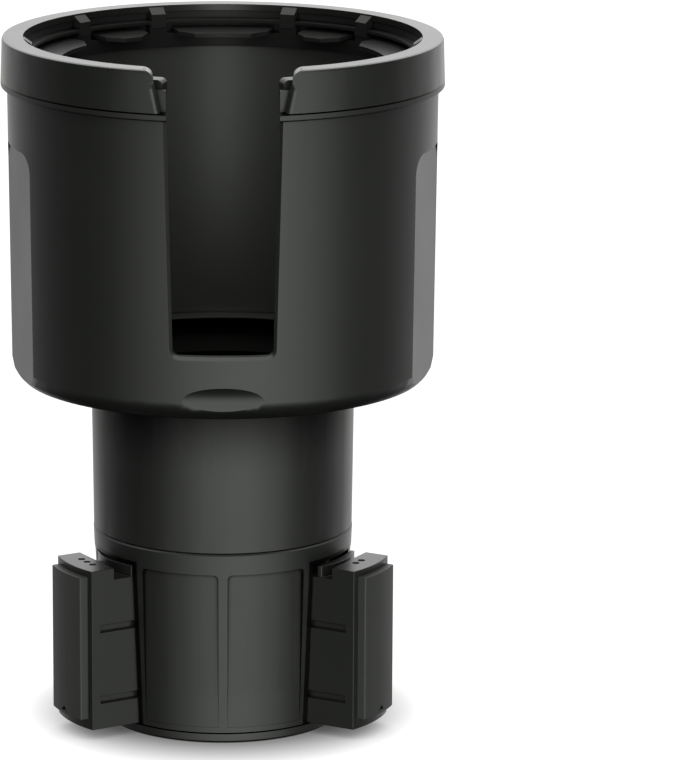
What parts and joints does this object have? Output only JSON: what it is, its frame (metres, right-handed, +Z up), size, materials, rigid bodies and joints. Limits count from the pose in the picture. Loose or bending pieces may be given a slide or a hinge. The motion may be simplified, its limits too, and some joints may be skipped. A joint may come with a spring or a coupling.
{
  "type": "vehicle cup holder expander",
  "caption": "Wide slotted cup on a narrow neck and a base that stands in a vehicle's cup holder; turning the cup slides padded arms out to grip the holder.",
  "frame": {"origin": "centre of the base plate's underside, on the axis of the base and the cup", "axes": "+Z up along the axis from the foot to the rim, -Y towards the cup's slot, +X to the right of the slot as seen from the front"},
  "size_m": [0.1127, 0.1109, 0.1776],
  "materials": {
    "base_plastic": "satin charcoal",
    "cup_plastic": "satin charcoal",
    "rim_plastic": "satin charcoal",
    "scroll_plastic": "satin charcoal",
    "arm_plastic": "satin charcoal",
    "grip_rubber": "matte black rubber",
    "pad_rubber": "matte black rubber",
    "screw_steel": "zinc plated"
  },
  "bodies": {
    "base": {"base_plate": "base_plastic", "base_housing": "base_plastic", "base_screw_1": "screw_steel", "base_screw_2": "screw_steel", "base_screw_3": "screw_steel"},
    "cup": {"cup_shell": "cup_plastic", "rim_band": "rim_plastic", "grip_ring": "grip_rubber", "scroll_plate": "scroll_plastic", "hub_screw_1": "screw_steel", "hub_screw_2": "screw_steel", "hub_screw_3": "screw_steel", "hub_screw_4": "screw_steel"},
    "arm_1": {"arm_1": "arm_plastic", "arm_pad_1": "pad_rubber"},
    "arm_2": {"arm_2": "arm_plastic", "arm_pad_2": "pad_rubber"},
    "arm_3": {"arm_3": "arm_plastic", "arm_pad_3": "pad_rubber"}
  },
  "joints": [
    {"name": "cup_turn", "type": "hinge", "parent": "base", "child": "cup", "pos_m": [0, 0, 0.0507], "axis": [0, 0, 1], "range_deg": [-120, 684]},
    {"name": "arm_1_slide", "type": "slide", "parent": "base", "child": "arm_1", "axis": [0, 1, 0], "range_m": [-0.01141, 0.00201]},
    {"name": "arm_2_slide", "type": "slide", "parent": "base", "child": "arm_2", "axis": [0.866, -0.5, 0], "range_m": [-0.01141, 0.00201]},
    {"name": "arm_3_slide", "type": "slide", "parent": "base", "child": "arm_3", "axis": [-0.866, -0.5, 0], "range_m": [-0.01141, 0.00201]}
  ],
  "couplings": [
    {"joint": "arm_1_slide", "follows": "cup_turn", "m_per_rad": -0.00095493},
    {"joint": "arm_2_slide", "follows": "cup_turn", "m_per_rad": -0.00095493},
    {"joint": "arm_3_slide", "follows": "cup_turn", "m_per_rad": -0.00095493}
  ]
}
